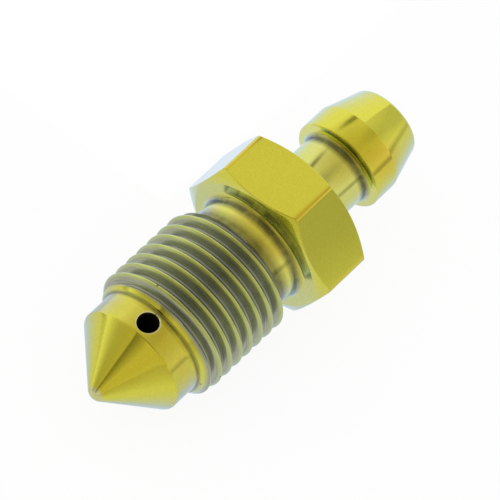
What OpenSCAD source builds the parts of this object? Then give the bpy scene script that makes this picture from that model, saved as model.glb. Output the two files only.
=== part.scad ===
// Bleeder screw for a hydraulic brake caliper: seat cone, cross-drilled nose, fine outside thread,
// hexagon with both ends chamfered, and a hose barb with an axial bore.
// Millimetres, +Z up. The screw is drawn upright, from its tip at z = 0, and then laid down as it
// rests on a table: on one side of its hexagon and on the underside of its thread, tip towards -X.
// The origin is on the table, below the middle of the length.

/* [Seat and nose] */
// Included angle of the seat cone
seat_angle = 90; // [70:5:110]
// Radius that blunts the tip of the cone
tip_r = 0.85; // [0.4:0.05:1.4]
// Diameter of the plain nose behind the cone
nose_d = 8.1; // [7.4:0.1:8.4]
// Length of the plain nose, from the shoulder of the cone to the start of the thread
nose_len = 1.45; // [1.2:0.05:3]
// Radius that breaks the shoulder between cone and nose
shoulder_r = 0.15; // [0.05:0.05:0.4]

/* [Thread] */
// Outside diameter of the thread, M10 at its lower tolerance
thread_d = 9.8; // [9.4:0.1:11]
// Pitch of the thread
thread_pitch = 1; // [0.75:0.25:1.25]
// Length of the thread, with the lead-in and the run-out
thread_len = 8.6; // [6:0.1:14]
// Slope of the lead-in chamfer, measured from the axis
lead_angle = 35; // [25:5:45]
// Slope of the run-out chamfer, measured from the axis
run_out_angle = 60; // [45:5:70]
// Angle from the upper side of the hexagon to a crest at the height of the tip
thread_clock = 67; // [0:1:359]

/* [Undercut] */
// Diameter of the undercut between thread and hexagon
undercut_d = 8; // [7:0.1:8.2]
// Length of the undercut
undercut_len = 2.05; // [1.2:0.05:4]

/* [Hexagon] */
// Width across the flats, 11 mm size at its lower tolerance
hex_af = 10.7; // [10.4:0.1:14]
// Height of the hexagon
hex_h = 4.5; // [3:0.1:8]
// Diameter of the flat ring that the chamfers leave on both faces
hex_face_d = 10.25; // [9.6:0.05:10.35]
// Radius of the spheres that crown the chamfers: a smaller one makes them steeper
hex_crown_r = 12; // [10:0.5:24]

/* [Stem and barb] */
// Diameter of the stem between hexagon and barb
stem_d = 5.3; // [4.4:0.1:5.8]
// Length of the stem
stem_len = 3.9; // [2:0.1:8]
// Diameter of the barb
barb_d = 6.9; // [6.8:0.1:9]
// Length of the cylindrical part of the barb
barb_land = 1.95; // [0.8:0.05:4]
// Length of the tapered part of the barb
barb_taper_len = 2.9; // [1.5:0.1:6]
// Diameter of the free end of the barb
barb_end_d = 5.2; // [4.4:0.1:6.2]
// Radius of the rim at the free end
rim_r = 0.25; // [0.1:0.05:0.4]
// Radius that breaks the back edge of the barb
barb_edge_r = 0.1; // [0.05:0.05:0.2]
// Radius of the fillets at the hexagon and behind the barb
fillet_r = 0.45; // [0.2:0.05:0.5]

/* [Bleed passage] */
// Diameter of the axial bore
bore_d = 2.5; // [1.8:0.1:3]
// How far the bore's full diameter runs past the cross hole
bore_overrun = 0.3; // [0:0.05:0.5]
// Point angle of the drill that made the bore
drill_angle = 118; // [90:1:140]
// Size of the chamfer at the mouth of the bore
bore_chamfer = 0.2; // [0.1:0.05:0.4]
// Diameter of the cross hole
cross_hole_d = 1.5; // [1:0.1:1.8]
// Distance from the shoulder to the middle of the cross hole
cross_hole_z = 1.05; // [0.9:0.05:1.2]
// Angle from the upper side of the hexagon to the cross hole
cross_hole_clock = 9; // [0:1:359]
// Size of the edge break at the mouth of the cross hole
cross_hole_chamfer = 0.1; // [0.05:0.05:0.2]

/* [Hidden] */
$fn = 96;
gold = [0.78, 0.72, 0.22];

// Cutters reach this far past the face they cut
past = 1;
// Straight steps in each rounded stretch of an outline
arc_steps = 8;
// The fillets end this far inside the hexagon, so that their surfaces cross its faces cleanly
fillet_sink = 0.02;

// Heights along the screw, from the tip
seat_half = seat_angle / 2;
nose_r = nose_d / 2;
shoulder_z = tip_r * (1 - sin(seat_half)) + (nose_r - tip_r * cos(seat_half)) / tan(seat_half);
thread_z = shoulder_z + nose_len;
undercut_z = thread_z + thread_len;
hex_z = undercut_z + undercut_len;
stem_z = hex_z + hex_h;
barb_z = stem_z + stem_len;
taper_z = barb_z + barb_land;
end_z = taper_z + barb_taper_len;

// Radii
thread_r = thread_d / 2;
undercut_r = undercut_d / 2;
stem_r = stem_d / 2;
barb_r = barb_d / 2;
barb_end_r = barb_end_d / 2;
bore_r = bore_d / 2;
cross_r = cross_hole_d / 2;

// Metric thread form, as shares of the pitch: 60 degree flanks, crest flat and depth
flank_half_angle = 30;
crest_w = thread_pitch / 8;
thread_depth = 0.6134 * thread_pitch;
root_r = thread_r - thread_depth;
flank_w = thread_depth * tan(flank_half_angle);
// Columns of points round the thread, and corners of the form in each turn
thread_columns = 48;
form = [
    [thread_r, -crest_w / 2],
    [thread_r, crest_w / 2],
    [root_r, crest_w / 2 + flank_w],
    [root_r, thread_pitch - crest_w / 2 - flank_w],
];
corners = len(form);
lead_len = (thread_r - nose_r) / tan(lead_angle);

// Height above the hexagon's face at which the crowned chamfer has a given radius
function crown_rise(r) =
    sqrt(pow(hex_crown_r, 2) - pow(hex_face_d / 2, 2)) - sqrt(pow(hex_crown_r, 2) - pow(r, 2));

// Rest: the near edge of the lower flat and the lowest crest of the thread touch the table
flat_r = hex_af / 2;
flat_edge_z = hex_z + crown_rise(flat_r);
rest_step = 0.02;
rest_tilt = min([for (z = [thread_z : rest_step : undercut_z]) drop_angle(z)]);

// Middle of the length once the screw lies on the table
low_x = tip_r * cos(rest_tilt) - tip_r;
high_x = end_z * cos(rest_tilt) + (barb_end_r - rim_r) * sin(rest_tilt);
middle_x = (low_x + high_x) / 2;
edge_height = flat_r * cos(rest_tilt) - flat_edge_z * sin(rest_tilt);

// Points on an arc in the outline, from angle a0 to a1
function arc(center, r, a0, a1) = [
    for (i = [0 : arc_steps])
        let (a = a0 + (a1 - a0) * i / arc_steps)
        center + r * [cos(a), sin(a)]
];

// Height of the crest nearest below z, at an angle round the screw
function crest_below(z, angle) =
    let (first = thread_pitch * (angle - thread_clock) / 360)
    first + thread_pitch * floor((z - first) / thread_pitch);

// Radius of the thread at a height and an angle, with both chamfers
function thread_radius(z, angle) =
    let (
        rise = z - crest_below(z, angle),
        from_crest = min(rise, thread_pitch - rise),
        drop = (from_crest - crest_w / 2) / tan(flank_half_angle),
        lead = nose_r + (z - thread_z) * tan(lead_angle),
        run_out = undercut_r + (undercut_z - z) * tan(run_out_angle)
    )
    min(thread_r - max(0, min(drop, thread_depth)), lead, run_out);

// Turn about the edge of the lower flat that brings the thread at height z down to the table
function drop_angle(z) = atan((flat_r - thread_radius(z, 180)) / (flat_edge_z - z));

// Outline of everything turned except the thread and the hexagon, from the tip to the free end
function turned_outline() = concat(
    arc([0, tip_r], tip_r, -90, -seat_half),
    arc([nose_r - shoulder_r, shoulder_z + shoulder_r * tan(seat_half / 2)], shoulder_r, -seat_half, 0),
    [[nose_r, thread_z + lead_len], [undercut_r, thread_z + 2 * lead_len]],
    arc([undercut_r + fillet_r, hex_z - fillet_r + fillet_sink], fillet_r, 180, 90),
    [[undercut_r + fillet_r, hex_z + hex_h / 2], [stem_r + fillet_r, hex_z + hex_h / 2]],
    arc([stem_r + fillet_r, stem_z + fillet_r - fillet_sink], fillet_r, 270, 180),
    arc([stem_r + fillet_r, barb_z - fillet_r], fillet_r, 180, 90),
    arc([barb_r - barb_edge_r, barb_z + barb_edge_r], barb_edge_r, -90, 0),
    [[barb_r, taper_z]],
    arc([barb_end_r - rim_r, end_z - rim_r], rim_r, taper_angle(), 90),
    [[0, end_z]]
);

// Direction that the tapered part of the barb faces, measured from square to the axis
function taper_angle() = atan((barb_r - barb_end_r) / barb_taper_len);

module turned_body() {
    rotate_extrude()
        polygon(turned_outline());
}

// Long screw surface: columns of form corners that climb one pitch in a turn, closed at both ends
module helical_rod() {
    turns = ceil(thread_len / thread_pitch) + 3;
    last = corners * turns;
    base_z = crest_below(thread_z - 2 * thread_pitch, thread_clock);
    column_size = last + 1;
    first_column_size = column_size + corners;
    point_count = first_column_size + (thread_columns - 1) * column_size;
    bottom = point_count;
    top = point_count + 1;

    function corner(i, j) =
        let (
            angle = 360 * i / thread_columns,
            c = form[j % corners],
            climb = floor(j / corners) + i / thread_columns
        )
        [c[0] * cos(angle), c[0] * sin(angle), base_z + c[1] + thread_pitch * climb];

    // The column that closes the turn is the first one, one turn up
    function at(i, j) =
        i == 0 ? j
        : i == thread_columns ? j + corners
        : first_column_size + (i - 1) * column_size + j;

    points = concat(
        [for (j = [0 : first_column_size - 1]) corner(0, j)],
        [for (i = [1 : thread_columns - 1]) for (j = [0 : last]) corner(i, j)],
        [[0, 0, base_z], [0, 0, base_z + thread_pitch * (turns + 1)]]
    );
    sides = [
        for (i = [0 : thread_columns - 1]) for (j = [0 : last - 1])
            [at(i, j), at(i, j + 1), at(i + 1, j + 1), at(i + 1, j)]
    ];
    lower_ramp = [for (i = [0 : thread_columns - 1]) [bottom, at(i, 0), at(i + 1, 0)]];
    upper_ramp = [for (i = [0 : thread_columns - 1]) [top, at(i + 1, last), at(i, last)]];
    lower_step = concat([bottom], [for (j = [corners : -1 : 0]) j]);
    upper_step = concat([top], [for (j = [last : last + corners]) j]);
    polyhedron(points, concat(sides, lower_ramp, upper_ramp, [lower_step, upper_step]));
}

// Envelope of the thread: lead-in cone, outside diameter and run-out cone
module thread_envelope() {
    inner_r = root_r / 2;
    rotate_extrude()
        polygon([
            [0, thread_z - (nose_r - inner_r) / tan(lead_angle)],
            [inner_r, thread_z - (nose_r - inner_r) / tan(lead_angle)],
            [thread_r + past, thread_z + (thread_r + past - nose_r) / tan(lead_angle)],
            [thread_r + past, undercut_z - (thread_r + past - undercut_r) / tan(run_out_angle)],
            [inner_r, undercut_z + (undercut_r - inner_r) / tan(run_out_angle)],
            [0, undercut_z + (undercut_r - inner_r) / tan(run_out_angle)],
        ]);
}

module thread() {
    intersection() {
        rotate([0, 0, thread_clock])
            helical_rod();
        thread_envelope();
    }
}

// Hexagonal prism between two spheres, each of which runs through the flat ring on one face
module hexagon() {
    crown_center = sqrt(pow(hex_crown_r, 2) - pow(hex_face_d / 2, 2));
    intersection() {
        translate([0, 0, hex_z])
            rotate([0, 0, 30])
                cylinder(r = flat_r / cos(30), h = hex_h, $fn = 6);
        translate([0, 0, hex_z + crown_center])
            sphere(r = hex_crown_r);
        translate([0, 0, stem_z - crown_center])
            sphere(r = hex_crown_r);
    }
}

// Axial bore with the drill's point at its bottom, just past the cross hole
module axial_bore() {
    bore_end_z = shoulder_z + cross_hole_z - cross_r - bore_overrun;
    point_h = bore_r / tan(drill_angle / 2);
    rotate_extrude()
        polygon([
            [0, bore_end_z - point_h],
            [bore_r, bore_end_z],
            [bore_r, end_z - bore_chamfer],
            [bore_r + bore_chamfer + past, end_z + past],
            [0, end_z + past],
        ]);
}

module cross_hole() {
    translate([0, 0, shoulder_z + cross_hole_z])
        rotate([0, 90, cross_hole_clock]) {
            cylinder(r = cross_r, h = nose_r + past);
            translate([0, 0, nose_r - cross_hole_chamfer])
                cylinder(r1 = cross_r, r2 = cross_r + past, h = past);
        }
}

module upright_screw() {
    difference() {
        union() {
            turned_body();
            thread();
            hexagon();
        }
        axial_bore();
        cross_hole();
    }
}

module bleeder_screw() {
    color(gold)
        translate([-middle_x, 0, edge_height])
            rotate([0, -rest_tilt, 0])
                rotate([180, 0, 0])
                    rotate([0, 90, 0])
                        upright_screw();
}

bleeder_screw();
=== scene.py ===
"""Bleeder screw in gold titanium, lying on a pale floor in soft studio light.

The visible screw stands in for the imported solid. It is one fine mesh, made here from the same
sizes: rows of points run from the tip over the outside to the bottom of the bore, and along the
thread the rows climb with the helix, so that its crests and roots come out even.
"""

import math

import bmesh
import bpy
import numpy as np
from mathutils import Matrix, Vector


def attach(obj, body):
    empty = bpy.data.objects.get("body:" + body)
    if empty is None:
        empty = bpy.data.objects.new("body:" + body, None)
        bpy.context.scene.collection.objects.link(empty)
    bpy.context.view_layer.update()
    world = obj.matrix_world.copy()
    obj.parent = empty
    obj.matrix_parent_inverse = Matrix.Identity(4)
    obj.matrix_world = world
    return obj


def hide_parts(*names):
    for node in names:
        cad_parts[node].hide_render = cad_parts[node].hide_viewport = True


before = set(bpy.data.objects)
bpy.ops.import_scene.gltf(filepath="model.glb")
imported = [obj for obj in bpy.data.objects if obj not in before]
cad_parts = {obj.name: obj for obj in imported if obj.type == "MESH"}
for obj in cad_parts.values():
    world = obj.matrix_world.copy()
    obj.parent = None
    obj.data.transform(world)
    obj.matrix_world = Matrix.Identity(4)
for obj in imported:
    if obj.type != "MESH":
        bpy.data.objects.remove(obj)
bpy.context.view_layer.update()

MM = 0.001

# Sizes of the screw in millimetres, as in the part's source
SEAT_HALF = math.radians(45)
TIP_R = 0.85
NOSE_R = 4.05
NOSE_LEN = 1.45
SHOULDER_ROUND = 0.15
THREAD_R = 4.9
PITCH = 1.0
THREAD_LEN = 8.6
RUN_OUT_SLOPE = math.tan(math.radians(60))
THREAD_CLOCK = 67
UNDERCUT_R = 4.0
UNDERCUT_LEN = 2.05
HEX_FLAT_R = 5.35
HEX_H = 4.5
HEX_FACE_R = 5.125
HEX_CROWN_R = 12
STEM_R = 2.65
STEM_LEN = 3.9
BARB_R = 3.45
BARB_LAND = 1.95
BARB_TAPER_LEN = 2.9
BARB_END_R = 2.6
FILLET_R = 0.45
BORE_R = 1.25
BORE_OVERRUN = 0.3
BORE_CHAMFER = 0.2
DRILL_HALF_ANGLE = math.radians(59)
CROSS_R = 0.75
CROSS_Z = 1.05
CROSS_CLOCK = math.radians(9)
REST_TILT = math.radians(2.701)
MIDDLE_X = 14.5627
EDGE_HEIGHT = 4.5945

# Angle of one side of the hexagon in degrees, and half of it in radians
HEX_SIDE = 60
HALF_SIDE = math.radians(HEX_SIDE / 2)

# Start of the thread: the nose rises a little to a small step, where a steeper lead-in begins
RISE_Z = 5.3
RISE_R = 4.12
RISE_ROUND = 0.3
RISE_SHARES = (0.15, 0.3, 0.45, 0.6, 0.75)
STEP_Z = 5.76
STEP_R = 4.30
STEP_LEN = 0.04
STEP_ROUND = 0.12
LEAD_SLOPE = math.tan(math.radians(45))

# Rounding of edges that the tools left, in millimetres
RIM_ROUND = 0.3
BARB_FILLET_R = FILLET_R * 0.9
BARB_EDGE_ROUND = 0.1
TAPER_ROUND = 0.2
HEX_EDGE_ROUND = 0.07
HEX_CORNER_ROUND = 0.28
SMALL_ROUND = 0.05
CROSS_EDGE = 0.07

# Heights along the screw in millimetres, from the tip
CONE_FOOT_Z = TIP_R * (1 - math.sin(SEAT_HALF))
CONE_FOOT_R = TIP_R * math.cos(SEAT_HALF)
SHOULDER_Z = CONE_FOOT_Z + (NOSE_R - CONE_FOOT_R) / math.tan(SEAT_HALF)
THREAD_Z = SHOULDER_Z + NOSE_LEN
UNDERCUT_Z = THREAD_Z + THREAD_LEN
HEX_Z = UNDERCUT_Z + UNDERCUT_LEN
STEM_Z = HEX_Z + HEX_H
BARB_Z = STEM_Z + STEM_LEN
TAPER_Z = BARB_Z + BARB_LAND
END_Z = TAPER_Z + BARB_TAPER_LEN
CROSS_HEIGHT = SHOULDER_Z + CROSS_Z
BORE_END_Z = CROSS_HEIGHT - CROSS_R - BORE_OVERRUN

# Thread form in one pitch: crest, flanks and root
FLANK_ANGLE = math.radians(30)
CREST_HALF = PITCH / 16
THREAD_DEPTH = 0.6134 * PITCH
ROOT_R = THREAD_R - THREAD_DEPTH
FLANK_W = THREAD_DEPTH * math.tan(FLANK_ANGLE)
CREST_ROUND = 0.1
ROOT_ROUND = 0.12
FLANK_SHARES = (0.33, 0.5, 0.67)

# Rows and columns of the mesh, with lengths in millimetres
EVEN_COLUMNS = 240
CORNER_COLUMNS = (-1, -0.5, 0, 0.5, 1)
ROUND_STEPS = 4
TIP_ROWS = 10
CONE_ROWS = 20
CONE_FIRST_Z = 0.4
CONE_LAST_GAP = 0.3
NOSE_ROW_STEP = 0.1
NOSE_ROW_GAP = 0.2
DRILL_LAST_ROW = 0.02
SPARE_TURNS = 3
BLEND_WIDTH = 0.03
SNAP = 0.012
SHARP_ANGLE = math.radians(32)

# Drill for the cross hole: its start, how far it stands out of the nose, and its columns
CUTTER_START = 0.3
CUTTER_PAST = 1.0
CUTTER_COLUMNS = 64
WALL_TOLERANCE = 0.01

# Spots on the surface, as (angle, radius, height): small dark pits and the warm stain on the barb
PITS = (
    (math.radians(101), 4.3, 5.75),
    (math.radians(99), 4.88, 7.05),
    (math.radians(-5), 4.88, 6.82),
)
BARB_STAIN = (math.radians(56), BARB_R, 25.6)

# Painted shade beside the inner corners, which also darkens their reflections in the faces next to
# them, as (radius, height, reach, depth)
CORNER_PAINTED_SHADE = (
    (UNDERCUT_R, HEX_Z - 0.44, 0.5, 1.0),
    (UNDERCUT_R, UNDERCUT_Z + 0.15, 0.85, 0.9),
    (STEM_R, STEM_Z + 0.2, 0.3, 0.8),
    (STEM_R, BARB_Z - 0.42, 0.5, 1.0),
    (RISE_R, STEP_Z - 0.12, 0.2, 0.8),
)
DARKEST_SHARE = 0.2

# Colours of the film as (polished, cut): seen straight on, aslant and at a grazing angle
STRAIGHT = ((0.49, 0.41, 0.028), (0.245, 0.25, 0.18))
ASLANT = ((0.735, 0.70, 0.082), (0.42, 0.435, 0.31))
GRAZING = ((0.15, 0.50, 0.97), (0.46, 0.46, 0.50))
ASLANT_FACING = (0.09, 0.29)
GRAZING_FACING = (0.3, 1.0)
GRAZING_POWER = 2.0

# Factors on the polished colour, the looks of bare metal, and the near-black painted shade in the
# holes
STAIN_TINT = (0.96, 0.72, 0.8)
NOSE_TINT = (0.84, 0.82, 1.2)
PALE_TINT = (0.97, 1.03, 2.4)
CREST_TINT = (0.86, 1.0, 1.8)
# Factors by which the painted shade beside the inner corners, and the pits, darken the polished
# colour
SHADE_AND_PIT_TINT = (0.2, 0.21, 0.7)
WORN_COLOR = (0.62, 0.62, 0.40)
# Walls of the holes: near-black colour as painted shade, and their roughness
HOLE_SHADE_COLOR = (0.09, 0.08, 0.05, 1)
HOLE_ROUGHNESS = 0.5

# Noises as (scale, detail, roughness), and the bump of the lathe's rings
LATHE_NOISE = (9.0, 3.0, 0.7)
STREAK_NOISE = (14.0, 4.0, 0.7)
SHADE_NOISE = (0.9, 4.0, 0.65)
STAIN_NOISE = (0.7, 4.0, 0.6)
GRAIN_NOISE = (8.0, 3.0, 0.7)
LATHE_STRENGTH = 0.12
LATHE_DEPTH = 0.00001

# Ranges of a noise or of the groove's share, as (from, to) or (from, to, value, value)
STREAKS = (0.3, 0.7, 0.6, 1.25)
GRAIN = (0.3, 0.7, 0.93, 1.07)
SHADE_CLOUDS = (0.4, 0.6, 0.8, 1.0)
STAIN_CLOUDS = (0.42, 0.66)
ROUGHNESS = (0.0, 1.0, 0.10, 0.22)

# Ranges of a height, in the same form
WORN_TIP = (0.2, 0.42, 0.6, 0.0)
NOSE_FILM_BEGINS = (SHOULDER_Z - 0.05, SHOULDER_Z + 0.1, 0.0, 0.6)
NOSE_FILM_ENDS = (STEP_Z - 0.1, STEP_Z, 1.0, 0.0)
NOSE_STAIN = (STEP_Z + 0.3, SHOULDER_Z - 0.6)
THREAD_BEGINS = (STEP_Z + 0.12, STEP_Z + 0.35)
THREAD_ENDS = (UNDERCUT_Z - 0.15, UNDERCUT_Z + 0.1, 1.0, 0.0)
PALE_FACE_BEGINS = (UNDERCUT_Z, UNDERCUT_Z + 0.2)
PALE_FACE_ENDS = (HEX_Z + 0.05, HEX_Z + 0.25, 0.5, 0.0)
PALE_STEM_BEGINS = (STEM_Z - 0.02, STEM_Z + 0.1)
PALE_STEM_ENDS = (BARB_Z - 0.05, BARB_Z + 0.02, 1.0, 0.0)

# Ranges of a radius or a distance, in the same form
GROOVE_DEEPENS = (THREAD_R - 0.03, THREAD_R - 0.26, 0.3, 1.0)
# Painted shade in the thread's roots: the cut colour falls to 0.8 of itself there
ROOT_PAINTED_SHADE = (ROOT_R + 0.02, ROOT_R + 0.1, 0.8, 1.0)
UNDERCUT_STAIN = (1.1, 0.6)
TURNED_STAIN = 0.7
HEX_CORNER_STAIN = (6.0, 6.07, 0.0, 0.45)
BARB_STAIN_FADES = (0.6, 1.8, 0.55, 0.0)
RIM_COVERED = (CROSS_R + CROSS_EDGE, CROSS_R + CROSS_EDGE + 0.04, 0.4, 0.0)
PIT_FADES = (0.05, 0.11)

# Floor: its grey in diffuse light, its share of plain white, and its brighter side in reflections
FLOOR_COLOR = (0.9, 0.9, 0.9, 1)
FLOOR_WHITE_SHARE = 0.92
BRIGHT_SIDE_X = (-0.001, 0.003)
BRIGHT_SIDE_Y = (-0.01, 0.01)
FLOOR_MIRRORED = (0.0, 1.0, 0.8, 1.02)
WHITE = (1, 1, 1, 1)

# Cards: the height of the point they face, and how their soft edges fade out
CARD_AIM = Vector((0, 0, 0.005))
SOFT_EDGE = (1.0, 0.2)

# Camera: place in metres, turn in degrees, sensor and lens in millimetres
CAMERA_PLACE = (-0.200188, -0.156992, 0.355706)
CAMERA_TURN = (35.9745, -2.3303, -48.8069)
CAMERA_SENSOR = 36
CAMERA_LENS = 477.44


def add_object(name, data):
    """A new object in the scene."""
    made = bpy.data.objects.new(name, data)
    bpy.context.scene.collection.objects.link(made)
    return made


def column_angles():
    """Angles of the points round the screw, from its underside round to it again, with more of them
    at the rounded corners of the hexagon."""
    step = 360 / EVEN_COLUMNS
    corner_r = HEX_FLAT_R / math.cos(HALF_SIDE)
    reach = math.degrees(HEX_CORNER_ROUND * math.tan(HALF_SIDE) / corner_r)
    angles = []
    for i in range(EVEN_COLUMNS):
        angle = i * step - 180
        if abs(angle % HEX_SIDE - HEX_SIDE / 2) < step / 2:
            angles += [angle + reach * share for share in CORNER_COLUMNS]
        else:
            angles.append(angle)
    return np.radians(angles)


def hexagon_radius(angles):
    """Distance from the axis to the hexagon's side in each direction, with rounded corners."""
    turn = (angles + HALF_SIDE) % math.radians(HEX_SIDE) - HALF_SIDE
    flat = HEX_FLAT_R / np.cos(turn)
    centre = (HEX_FLAT_R - HEX_CORNER_ROUND) / math.cos(HALF_SIDE)
    from_corner = HALF_SIDE - np.abs(turn)
    aside = centre * np.sin(from_corner)
    rounded = centre * np.cos(from_corner) + np.sqrt(
        HEX_CORNER_ROUND ** 2 - np.minimum(aside, HEX_CORNER_ROUND) ** 2
    )
    return np.where(aside < HEX_CORNER_ROUND * math.sin(HALF_SIDE), rounded, flat)


def rounded_corner(before, corner, after, radius):
    """Points of the arc that rounds one corner of an outline. Each is an array of (radius,
    height)."""
    to_before = (before - corner) / np.linalg.norm(before - corner, axis=0)
    to_after = (after - corner) / np.linalg.norm(after - corner, axis=0)
    half = np.arccos(np.clip((to_before * to_after).sum(0), -1, 1)) / 2
    middle = (to_before + to_after) / np.linalg.norm(to_before + to_after, axis=0)
    centre = corner + middle * radius / np.sin(half)
    first = corner + to_before * radius / np.tan(half) - centre
    last = corner + to_after * radius / np.tan(half) - centre
    sweep = math.pi - 2 * half
    return [
        centre + (np.sin(sweep * (1 - s)) * first + np.sin(sweep * s) * last) / np.sin(sweep)
        for s in np.linspace(0, 1, ROUND_STEPS + 1)
    ]


def outline_rows(corners, count):
    """Rows of points along an outline of (radius, height, rounding) corners. A radius may differ by
    column."""
    points = [
        np.array([np.broadcast_to(r, count), np.broadcast_to(z, count)], float)
        for r, z, _ in corners
    ]
    rows = []
    for i, (_, _, rounding) in enumerate(corners):
        if rounding:
            rows += rounded_corner(points[i - 1], points[i], points[i + 1], rounding)
        else:
            rows.append(points[i])
    return rows


def nose_rows(count):
    """Rows over the blunt tip, the seat cone and the nose, up to the start of the thread."""
    tip = [
        (TIP_R * math.cos(angle), TIP_R * (1 + math.sin(angle)), 0)
        for angle in np.linspace(math.radians(-90), -SEAT_HALF, TIP_ROWS)[1:]
    ]
    cone = [
        (NOSE_R - (SHOULDER_Z - z) * math.tan(SEAT_HALF), z, 0)
        for z in np.linspace(CONE_FIRST_Z, SHOULDER_Z - CONE_LAST_GAP, CONE_ROWS)
    ]
    nose = [
        (NOSE_R, z, 0)
        for z in np.arange(SHOULDER_Z + NOSE_ROW_GAP, RISE_Z - NOSE_ROW_GAP, NOSE_ROW_STEP)
    ]
    step_foot_z = STEP_Z - STEP_LEN
    rise = [
        (NOSE_R + (RISE_R - NOSE_R) * s, RISE_Z + (step_foot_z - RISE_Z) * s, 0)
        for s in RISE_SHARES
    ]
    return outline_rows([
        *tip,
        *cone,
        (NOSE_R, SHOULDER_Z, SHOULDER_ROUND),
        *nose,
        (NOSE_R, RISE_Z, RISE_ROUND),
        *rise,
        (RISE_R, step_foot_z, STEP_ROUND),
        (STEP_R, STEP_Z, 0),
    ], count)


def crown_rise(radius):
    """Height above the hexagon's face at which its crowned chamfer has a given radius."""
    return math.sqrt(HEX_CROWN_R ** 2 - HEX_FACE_R ** 2) - np.sqrt(HEX_CROWN_R ** 2 - radius ** 2)


def rear_rows(angles):
    """Rows from the undercut over the hexagon, the stem and the barb, and down the bore."""
    side = hexagon_radius(angles)
    middle = (side + HEX_FACE_R) / 2
    drill_depth = BORE_R * (1 - DRILL_LAST_ROW) / math.tan(DRILL_HALF_ANGLE)
    return outline_rows([
        (UNDERCUT_R, UNDERCUT_Z, 0),
        (UNDERCUT_R, HEX_Z, FILLET_R),
        (HEX_FACE_R, HEX_Z, SMALL_ROUND),
        (middle, HEX_Z + crown_rise(middle), 0),
        (side, HEX_Z + crown_rise(side), HEX_EDGE_ROUND),
        (side, STEM_Z - crown_rise(side), HEX_EDGE_ROUND),
        (middle, STEM_Z - crown_rise(middle), 0),
        (HEX_FACE_R, STEM_Z, SMALL_ROUND),
        (STEM_R, STEM_Z, FILLET_R),
        (STEM_R, BARB_Z, BARB_FILLET_R),
        (BARB_R, BARB_Z, BARB_EDGE_ROUND),
        (BARB_R, TAPER_Z, TAPER_ROUND),
        (BARB_END_R, END_Z, RIM_ROUND),
        (BORE_R + BORE_CHAMFER, END_Z, SMALL_ROUND),
        (BORE_R, END_Z - BORE_CHAMFER, SMALL_ROUND),
        (BORE_R, BORE_END_Z, 0),
        (BORE_R * DRILL_LAST_ROW, BORE_END_Z - drill_depth, 0),
    ], len(angles))


def thread_form():
    """Rows of the thread's form in one pitch, as (share of the pitch, radius), with rounded crest
    and root."""
    crest, root = CREST_HALF, PITCH / 2 - CREST_HALF - FLANK_W
    flank = [(THREAD_R - THREAD_DEPTH * s, crest + FLANK_W * s, 0) for s in FLANK_SHARES]
    climb = [
        (THREAD_R - THREAD_DEPTH * s, PITCH - crest - FLANK_W * s, 0)
        for s in reversed(FLANK_SHARES)
    ]
    rows = outline_rows([
        (ROOT_R, -PITCH / 2 + root, 0),
        (THREAD_R, -crest, CREST_ROUND),
        (THREAD_R, crest, CREST_ROUND),
        *flank,
        (ROOT_R, PITCH / 2 - root, ROOT_ROUND),
        (ROOT_R, PITCH / 2 + root, ROOT_ROUND),
        *climb,
        (THREAD_R, PITCH - crest, 0),
    ], 1)[1:-1]
    return sorted((float(z[0]) / PITCH % 1, float(r[0])) for r, z in rows)


def blended_minimum(a, b):
    """The smaller of two radii, with the edge between the surfaces rounded off."""
    overlap = np.maximum(BLEND_WIDTH - np.abs(a - b), 0) / BLEND_WIDTH
    return np.minimum(a, b) - overlap ** 2 * BLEND_WIDTH / 4


def thread_grid(angles):
    """Height and radius of every point of the thread, in rows along the helix and columns round the
    screw, and the number of rows in one pitch."""
    form = thread_form()
    turns = math.ceil(THREAD_LEN / PITCH) + SPARE_TURNS
    share = np.array([turn + s for turn in range(turns) for s, _ in form])
    radius = np.tile([r for _, r in form], turns)
    first = math.floor(THREAD_Z / PITCH) - 1 - THREAD_CLOCK / 360
    height = PITCH * (first + share[:, None] + angles[None, :] / (2 * math.pi))
    lead_in = STEP_R + (height - STEP_Z) * LEAD_SLOPE
    run_out = UNDERCUT_R + (UNDERCUT_Z - height) * RUN_OUT_SLOPE
    cut = blended_minimum(blended_minimum(radius[:, None] + 0 * height, lead_in), run_out)
    return height, cut, len(form)


def turned_points(angles, radius, height):
    """Points in space at angles round the axis, from arrays of radius and height."""
    return np.stack([radius * np.cos(angles), radius * np.sin(angles), height], axis=-1)


def row_points(angles, rows):
    """Points in space for rows of (radius, height)."""
    radius = np.array([row[0] for row in rows])
    height = np.array([row[1] for row in rows])
    return turned_points(angles, radius, height)


def grid_faces(index, next_index):
    """Faces between rows of points. next_index is each point's neighbour one column on."""
    quads = np.stack([index[:-1], next_index[:-1], next_index[1:], index[1:]], axis=-1)
    faces = []
    for quad in quads.reshape(-1, 4).tolist():
        corners = [v for i, v in enumerate(quad) if v != quad[i - 1]]
        if len(corners) > 2:
            faces.append(corners)
    return faces


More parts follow.
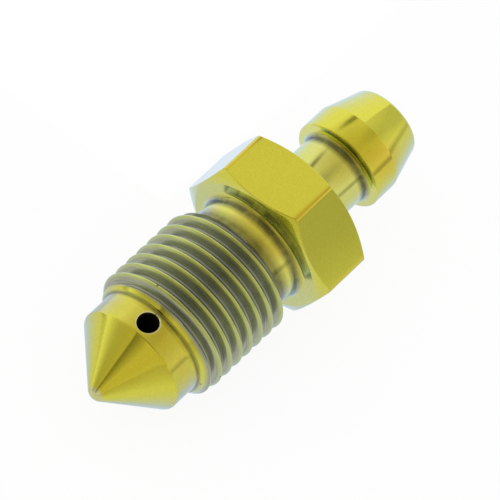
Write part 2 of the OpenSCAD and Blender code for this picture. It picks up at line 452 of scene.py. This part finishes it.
def screw_mesh():
    """The whole screw as one closed mesh in its own axes, in millimetres, without the cross
    hole."""
    angles = column_angles()
    count = len(angles)
    height, radius, form_rows = thread_grid(angles)

    points = [
        row_points(angles, nose_rows(count)).reshape(-1, 3),
        turned_points(angles, radius, height).reshape(-1, 3),
        row_points(angles, rear_rows(angles)).reshape(-1, 3),
    ]
    front_size, thread_size, rear_size = (len(p) for p in points)
    tip = front_size + thread_size + rear_size
    drill_point = tip + 1
    poles = np.array([[0, 0, 0], [0, 0, BORE_END_Z - BORE_R / math.tan(DRILL_HALF_ANGLE)]])

    front_index = np.arange(front_size).reshape(-1, count)
    thread_index = front_size + np.arange(thread_size).reshape(-1, count)
    rear_index = front_size + thread_size + np.arange(rear_size).reshape(-1, count)
    thread_index = np.where(height < STEP_Z + SNAP, front_index[-1], thread_index)
    thread_index = np.where(height > UNDERCUT_Z - SNAP, rear_index[0], thread_index)

    # Past the last column the helix has climbed one turn
    beyond = np.repeat(rear_index[:1, :1], form_rows, axis=0)
    climbed = np.vstack([thread_index[form_rows:, :1], beyond])
    thread_next = np.hstack([thread_index[:, 1:], climbed])

    faces = grid_faces(front_index, np.roll(front_index, -1, axis=1))
    faces += grid_faces(thread_index, thread_next)
    faces += grid_faces(rear_index, np.roll(rear_index, -1, axis=1))
    for i in range(count):
        after = (i + 1) % count
        faces.append([tip, int(front_index[0, after]), int(front_index[0, i])])
        faces.append([drill_point, int(rear_index[-1, i]), int(rear_index[-1, after])])

    mesh = bpy.data.meshes.new("bleeder_screw_body")
    mesh.from_pydata(np.vstack(points + [poles]).tolist(), [], faces)
    drop_loose_points(mesh)
    return mesh


def drop_loose_points(mesh):
    """Deletes the helix points that lie past the ends of the thread."""
    work = bmesh.new()
    work.from_mesh(mesh)
    loose = [v for v in work.verts if not v.link_faces]
    bmesh.ops.delete(work, geom=loose, context="VERTS")
    bmesh.ops.recalc_face_normals(work, faces=work.faces)
    work.to_mesh(mesh)
    work.free()


def revolved_mesh(name, corners, columns):
    """A closed turned solid from an outline of (radius, height, rounding), with a flat face at both
    ends."""
    angles = np.radians(np.arange(columns) * 360 / columns)
    points = row_points(angles, outline_rows(corners, columns))
    index = np.arange(points[..., 0].size).reshape(-1, columns)
    faces = grid_faces(index, np.roll(index, -1, axis=1))
    faces += [index[0, ::-1].tolist(), index[-1].tolist()]
    mesh = bpy.data.meshes.new(name)
    mesh.from_pydata(points.reshape(-1, 3).tolist(), [], faces)
    return mesh


def cross_hole_cutter():
    """The drill for the cross hole, with a broken edge at its mouth."""
    cutter = add_object("cross_hole_cutter", revolved_mesh("cross_hole_cutter", [
        (CROSS_R, CUTTER_START, 0),
        (CROSS_R, NOSE_R - CROSS_EDGE, 0),
        (CROSS_R + CROSS_EDGE, NOSE_R, 0),
        (CROSS_R + CROSS_EDGE, NOSE_R + CUTTER_PAST, 0),
    ], CUTTER_COLUMNS))
    cutter.matrix_world = (
        Matrix.Translation((0, 0, CROSS_HEIGHT))
        @ Matrix.Rotation(CROSS_CLOCK, 4, "Z")
        @ Matrix.Rotation(math.radians(90), 4, "Y")
    )
    return cutter


def drill_cross_hole(screw):
    """Cuts the cross hole into the screw's mesh."""
    cutter = cross_hole_cutter()
    cut = screw.modifiers.new("cross_hole", "BOOLEAN")
    cut.operation = "DIFFERENCE"
    cut.solver = "EXACT"
    cut.object = cutter
    bpy.context.view_layer.update()
    evaluated = screw.evaluated_get(bpy.context.evaluated_depsgraph_get())
    drilled = bpy.data.meshes.new_from_object(evaluated)
    screw.modifiers.clear()
    screw.data = drilled
    bpy.data.objects.remove(cutter)


def mark_sharp_edges(mesh):
    """Smooth shading, apart from edges that turn sharply."""
    work = bmesh.new()
    work.from_mesh(mesh)
    for face in work.faces:
        face.smooth = True
    for edge in work.edges:
        edge.smooth = len(edge.link_faces) == 2 and edge.calc_face_angle() < SHARP_ANGLE
    work.to_mesh(mesh)
    work.free()


def lying_down():
    """Turns the screw's own axes in millimetres into the row frame in metres: tip towards -X, at
    rest."""
    upright_to_lying = Matrix(((0, 0, 1), (0, -1, 0), (1, 0, 0))).to_4x4()
    tilted = Matrix.Rotation(REST_TILT, 4, "Y").inverted() @ upright_to_lying
    return Matrix.Scale(MM, 4) @ Matrix.Translation((-MIDDLE_X, 0, EDGE_HEIGHT)) @ tilted


def inside_hole(point):
    """True for a point on the wall of the axial bore or the cross hole, in the screw's own axes."""
    radius = math.hypot(point.x, point.y)
    if radius < BORE_R + WALL_TOLERANCE and point.z > BORE_END_Z - BORE_R:
        return True
    across = math.sin(CROSS_CLOCK) * point.x - math.cos(CROSS_CLOCK) * point.y
    from_drill = math.hypot(across, point.z - CROSS_HEIGHT)
    return from_drill < CROSS_R + WALL_TOLERANCE and radius < NOSE_R - CROSS_EDGE


def build_screw():
    """The visible screw in the row frame, with its two materials."""
    screw = add_object("bleeder_screw_body", screw_mesh())
    drill_cross_hole(screw)
    screw.data.materials.append(gold_titanium())
    screw.data.materials.append(hole_wall_painted_shade())
    for face in screw.data.polygons:
        face.material_index = int(inside_hole(face.center))
    mark_sharp_edges(screw.data)
    screw.data.transform(lying_down())
    weighted = screw.modifiers.new("normals", "WEIGHTED_NORMAL")
    weighted.keep_sharp = True
    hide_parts("bleeder_screw")
    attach(screw, "root")


def new_material(name):
    """An empty node material: its node tree, its output node and the material itself."""
    material = bpy.data.materials.new(name)
    material.use_nodes = True
    material.node_tree.nodes.clear()
    return material.node_tree, material.node_tree.nodes.new("ShaderNodeOutputMaterial"), material


def add_node(tree, kind, links=(), **settings):
    """A node with its settings, and its inputs linked to sockets or set to values."""
    node = tree.nodes.new(kind)
    for name, value in settings.items():
        setattr(node, name, value)
    for name, value in dict(links).items():
        if isinstance(value, bpy.types.NodeSocket):
            tree.links.new(value, node.inputs[name])
        else:
            node.inputs[name].default_value = value
    return node


def math_node(tree, operation, a, b=0.0):
    return add_node(tree, "ShaderNodeMath", {0: a, 1: b}, operation=operation).outputs["Value"]


def times(tree, a, b):
    return math_node(tree, "MULTIPLY", a, b)


def larger(tree, a, b):
    return math_node(tree, "MAXIMUM", a, b)


def vector_node(tree, operation, links):
    return add_node(tree, "ShaderNodeVectorMath", links, operation=operation).outputs


def distance(tree, place, point):
    """Distance of the shaded place from a fixed point."""
    return vector_node(tree, "DISTANCE", {0: place, 1: point})["Value"]


def map_range(tree, value, low, high, to_low=0.0, to_high=1.0):
    """The value moved from one range to another and kept inside it."""
    return add_node(tree, "ShaderNodeMapRange", {
        "Value": value, "From Min": low, "From Max": high, "To Min": to_low, "To Max": to_high,
    }).outputs["Result"]


def between(tree, value, begins, ends):
    """How far a value is past its first range and short of its second one."""
    return times(tree, map_range(tree, value, *begins), map_range(tree, value, *ends))


def noise(tree, place, form):
    scale, detail, roughness = form
    return add_node(tree, "ShaderNodeTexNoise", {
        "Vector": place, "Scale": scale, "Detail": detail, "Roughness": roughness,
    }).outputs["Fac"]


def mix_color(tree, share, first, second):
    mix = add_node(tree, "ShaderNodeMix", data_type="RGBA")
    sockets = (mix.inputs["Factor"], mix.inputs[6], mix.inputs[7])
    for socket, value in zip(sockets, (share, first, second)):
        if isinstance(value, bpy.types.NodeSocket):
            tree.links.new(value, socket)
        else:
            socket.default_value = (*value, 1)
    return mix.outputs[2]


def mix_shader(tree, share, first, second):
    return add_node(tree, "ShaderNodeMixShader", {0: share, 1: first, 2: second}).outputs["Shader"]


def object_place(tree):
    """Coordinates of the shaded place in the object's own axes."""
    return add_node(tree, "ShaderNodeTexCoord").outputs["Object"]


def split(tree, vector):
    """The X, Y and Z of a vector."""
    return add_node(tree, "ShaderNodeSeparateXYZ", {"Vector": vector}).outputs


def point_at(angle, radius, height):
    """A point at an angle round the screw, a distance from its axis and a height from its tip."""
    return radius * math.cos(angle), radius * math.sin(angle), height


def screw_axes(tree):
    """Coordinates in the screw's own axes, in millimetres, with the height from the tip and the
    distance from the axis."""
    place, turn, _ = lying_down().decompose()
    own = add_node(tree, "ShaderNodeMapping", {
        "Vector": object_place(tree),
        "Location": place,
        "Rotation": turn.to_euler(),
        "Scale": (MM, MM, MM),
    }, vector_type="TEXTURE").outputs["Vector"]
    flat = vector_node(tree, "MULTIPLY", {0: own, 1: (1, 1, 0)})["Vector"]
    radius = vector_node(tree, "LENGTH", {0: flat})["Value"]
    return own, split(tree, own)["Z"], radius


def turning_marks(tree, rings):
    """Surface normal with fine rings left by the lathe."""
    return add_node(tree, "ShaderNodeBump", {
        "Height": noise(tree, rings, LATHE_NOISE),
        "Strength": LATHE_STRENGTH,
        "Distance": LATHE_DEPTH,
    }).outputs["Normal"]


def corner_shade(tree, rings, clouds):
    """Painted shade beside the inner corners, patchy with noise; it also darkens their reflections
    in the
    faces next to them: 1 unshaded, 0 darkest."""
    shade = None
    cloudy = map_range(tree, clouds, *SHADE_CLOUDS)
    for radius, height, reach, depth in CORNER_PAINTED_SHADE:
        away = distance(tree, rings, (radius, 0, height))
        dark = map_range(tree, away, reach * DARKEST_SHARE, reach, depth, 0.0)
        unmarked = math_node(tree, "SUBTRACT", 1.0, times(tree, dark, cloudy))
        shade = unmarked if shade is None else times(tree, shade, unmarked)
    return shade


def specks(tree, own):
    """The small dark pits: 1 clean, 0 dark."""
    unmarked = None
    for spot in PITS:
        here = map_range(tree, distance(tree, own, point_at(*spot)), *PIT_FADES)
        unmarked = here if unmarked is None else times(tree, unmarked, here)
    return unmarked


def thread_shares(tree, height, radius):
    """Where the surface is the thread's, and how deep in its grooves: least on a crest, 1 on flanks
    and roots."""
    threaded = between(tree, height, THREAD_BEGINS, THREAD_ENDS)
    return threaded, times(tree, threaded, map_range(tree, radius, *GROOVE_DEEPENS))


def warm_stains(tree, own, height, radius):
    """Where the oxide is thicker and warmer: in clouds on the nose and the undercut, along the
    hexagon's corners and in one place on the barb."""
    clouds = map_range(tree, noise(tree, own, STAIN_NOISE), *STAIN_CLOUDS)
    along = times(tree, map_range(tree, height, *NOSE_STAIN), 2.0)
    from_middle = math_node(tree, "ABSOLUTE", math_node(tree, "SUBTRACT", along, 1.0))
    nose = math_node(tree, "SUBTRACT", 1.0, from_middle)
    away = math_node(tree, "SUBTRACT", height, (UNDERCUT_Z + HEX_Z) / 2)
    undercut = map_range(tree, math_node(tree, "ABSOLUTE", away), *UNDERCUT_STAIN)
    turned = times(tree, times(tree, clouds, larger(tree, nose, undercut)), TURNED_STAIN)
    corners = map_range(tree, radius, *HEX_CORNER_STAIN)
    barb = map_range(tree, distance(tree, own, point_at(*BARB_STAIN)), *BARB_STAIN_FADES)
    return larger(tree, larger(tree, turned, corners), barb)


def pale_film(tree, height):
    """Where the oxide is thinner and paler: on the stem, and less so on the undercut and the face
    beside it."""
    stem = between(tree, height, PALE_STEM_BEGINS, PALE_STEM_ENDS)
    face = between(tree, height, PALE_FACE_BEGINS, PALE_FACE_ENDS)
    return larger(tree, stem, face)


def bare_rim(tree, own):
    """The narrow edge round the mouth of the cross hole, where the drill bared the metal: highest
    where it is bare, 0 covered."""
    mouth = point_at(CROSS_CLOCK, NOSE_R, CROSS_HEIGHT)
    return map_range(tree, distance(tree, own, mouth), *RIM_COVERED)


def tinted(color, factors):
    """A colour times a factor for each channel, kept at 1 or below."""
    return tuple(min(1.0, channel * factor) for channel, factor in zip(color, factors))


def gold_titanium():
    """Bright turned titanium under a thin oxide film: gold straight on, yellow aslant, pale at a
    grazing angle. The thread is greyer and duller, because it was cut after polishing."""
    tree, output, material = new_material("gold_titanium")
    own, height, radius = screw_axes(tree)
    rings = add_node(tree, "ShaderNodeCombineXYZ", {
        "X": radius, "Y": 0.0, "Z": height,
    }).outputs["Vector"]
    normal = turning_marks(tree, rings)
    threaded, groove = thread_shares(tree, height, radius)
    streaks_and_root_shade = map_range(tree, noise(tree, rings, STREAK_NOISE), *STREAKS)
    # Painted shade in the roots of the thread, on top of the streaks
    streaks_and_root_shade = times(tree, streaks_and_root_shade, map_range(tree, radius, *ROOT_PAINTED_SHADE))
    # Painted shade beside the inner corners, times the dark pits
    shade = corner_shade(tree, rings, noise(tree, own, SHADE_NOISE))
    shade = times(tree, shade, specks(tree, own))
    worn = larger(tree, map_range(tree, height, *WORN_TIP), bare_rim(tree, own))
    stains = warm_stains(tree, own, height, radius)
    pale = pale_film(tree, height)
    nose = between(tree, height, NOSE_FILM_BEGINS, NOSE_FILM_ENDS)
    roughness = map_range(tree, groove, *ROUGHNESS)
    grain = map_range(tree, noise(tree, own, GRAIN_NOISE), *GRAIN)

    def lobe(polished, cut):
        film = mix_color(tree, stains, polished, tinted(polished, STAIN_TINT))
        film = mix_color(tree, nose, film, tinted(polished, NOSE_TINT))
        film = mix_color(tree, pale, film, tinted(polished, PALE_TINT))
        film = mix_color(tree, worn, film, WORN_COLOR)
        grained = vector_node(tree, "SCALE", {0: film, "Scale": grain})["Vector"]
        turned = mix_color(tree, threaded, grained, tinted(polished, CREST_TINT))
        streaked_and_root_shaded = vector_node(tree, "SCALE", {0: cut, "Scale": streaks_and_root_shade})["Vector"]
        color = mix_color(tree, groove, turned, streaked_and_root_shaded)
        # Base colour darkened by the painted corner shade and by the pits
        return add_node(tree, "ShaderNodeBsdfPrincipled", {
            "Base Color": mix_color(tree, shade, tinted(polished, SHADE_AND_PIT_TINT), color),
            "Metallic": 1.0,
            "Roughness": roughness,
            "Normal": normal,
        }).outputs["BSDF"]

    facing = add_node(tree, "ShaderNodeLayerWeight", {"Blend": 0.5}).outputs["Facing"]
    steep = map_range(tree, facing, *ASLANT_FACING)
    edge_on = math_node(tree, "POWER", map_range(tree, facing, *GRAZING_FACING), GRAZING_POWER)
    warm = mix_shader(tree, steep, lobe(*STRAIGHT), lobe(*ASLANT))
    film = mix_shader(tree, edge_on, warm, lobe(*GRAZING))
    tree.links.new(film, output.inputs["Surface"])
    return material


def hole_wall_painted_shade():
    """The rough wall of the drilled holes, near black as painted shade."""
    tree, output, material = new_material("hole_wall_painted_shade")
    shader = add_node(tree, "ShaderNodeBsdfPrincipled", {
        "Base Color": HOLE_SHADE_COLOR, "Metallic": 1.0, "Roughness": HOLE_ROUGHNESS,
    })
    tree.links.new(shader.outputs["BSDF"], output.inputs["Surface"])
    return material


def add_square(name, material):
    """A flat square, two metres wide, with its material."""
    mesh = bpy.data.meshes.new(name)
    mesh.from_pydata([(-1, -1, 0), (1, -1, 0), (1, 1, 0), (-1, 1, 0)], [], [(0, 1, 2, 3)])
    mesh.materials.append(material)
    return add_object(name, mesh)


def floor_white():
    """White to the camera and nearly so in reflections, while it keeps the screw's shadow."""
    tree, output, material = new_material("floor_white")
    shaded = add_node(tree, "ShaderNodeBsdfDiffuse", {"Color": FLOOR_COLOR}).outputs["BSDF"]
    rays = add_node(tree, "ShaderNodeLightPath").outputs
    place = split(tree, object_place(tree))
    bright_side = times(
        tree,
        map_range(tree, place["X"], *BRIGHT_SIDE_X),
        map_range(tree, place["Y"], *BRIGHT_SIDE_Y),
    )
    mirrored = map_range(tree, bright_side, *FLOOR_MIRRORED)
    white = add_node(tree, "ShaderNodeEmission", {
        "Color": WHITE, "Strength": larger(tree, rays["Is Camera Ray"], mirrored),
    }).outputs["Emission"]
    seen = larger(tree, rays["Is Camera Ray"], rays["Is Glossy Ray"])
    surface = mix_shader(tree, times(tree, seen, FLOOR_WHITE_SHARE), shaded, white)
    tree.links.new(surface, output.inputs["Surface"])
    return material


def build_floor():
    """The floor under the screw."""
    add_square("floor", floor_white())


def direction(azimuth, elevation):
    """Unit vector at an azimuth from +X towards +Y and an elevation, in degrees."""
    a, e = math.radians(azimuth), math.radians(elevation)
    return Vector((math.cos(a) * math.cos(e), math.sin(a) * math.cos(e), math.sin(e)))


def card_glow(name, grey, hard_side, full):
    """A grey glow that fades out towards the edges of a card."""
    tree, output, material = new_material(name)
    place = split(tree, object_place(tree))
    if hard_side:
        across = map_range(tree, place["X"], -hard_side, hard_side * (1 - 2 * full))
    else:
        across = map_range(tree, math_node(tree, "ABSOLUTE", place["X"]), *SOFT_EDGE)
    along = map_range(tree, math_node(tree, "ABSOLUTE", place["Y"]), *SOFT_EDGE)
    glow = add_node(tree, "ShaderNodeEmission", {"Color": (grey, grey, grey, 1), "Strength": 1.0})
    clear = add_node(tree, "ShaderNodeBsdfTransparent")
    faded = mix_shader(
        tree, times(tree, across, along), clear.outputs["BSDF"], glow.outputs["Emission"])
    tree.links.new(faded, output.inputs["Surface"])
    return material


def card(name, azimuth, elevation, away, width, height, grey, hard_side=0, full=0.0):
    """A grey card with soft edges that faces the screw and shows only in its reflections. With a
    hard side it has a hard edge at the lower azimuth (-1) or the higher one (1). It keeps its grey
    over the full share of its width there, and fades out over the rest."""
    made = add_square(name, card_glow(name, grey, hard_side, full))
    outward = direction(azimuth, elevation)
    made.matrix_world = (
        Matrix.Translation(outward * away + CARD_AIM)
        @ outward.to_track_quat("Z", "Y").to_matrix().to_4x4()
        @ Matrix.Diagonal((width / 2, height / 2, 1, 1))
    )
    made.visible_camera = False
    made.visible_diffuse = False
    made.visible_shadow = False


def light_scene():
    """White tent all round, with the grey cards that draw the bands on the metal."""
    world = bpy.data.worlds.new("studio")
    world.use_nodes = True
    world.node_tree.nodes["Background"].inputs["Color"].default_value = WHITE
    bpy.context.scene.world = world
    card("card_right", -50, 0, 0.06, 0.12, 0.018, 0.5)
    card("card_left", 120, 0, 0.06, 0.03, 0.016, 0.5)
    card("card_above", -30, 50, 0.3, 0.2, 0.2, 0.72)
    card("card_line", 38, 49, 0.066, 0.024, 0.016, 0.35)
    card("card_taper", -17, 20, 0.25, 0.21, 0.3, 0.64, hard_side=1, full=0.6)
    card("card_camera", -142, 62, 0.3, 0.5, 0.42, 0.45)
    card("card_tip", 152, 8, 0.3, 0.3, 0.3, 0.6)
    card("card_seam", 181, 24, 0.25, 0.09, 0.35, 0.3, hard_side=-1)


def place_camera():
    """Camera at the photograph's viewing angle, far off with a long lens."""
    camera = add_object("camera", bpy.data.cameras.new("camera"))
    camera.location = CAMERA_PLACE
    camera.rotation_euler = [math.radians(angle) for angle in CAMERA_TURN]
    camera.data.sensor_width = CAMERA_SENSOR
    camera.data.lens = CAMERA_LENS
    bpy.context.scene.camera = camera


bpy.context.scene.view_settings.view_transform = "Standard"
build_screw()
build_floor()
light_scene()
place_camera()
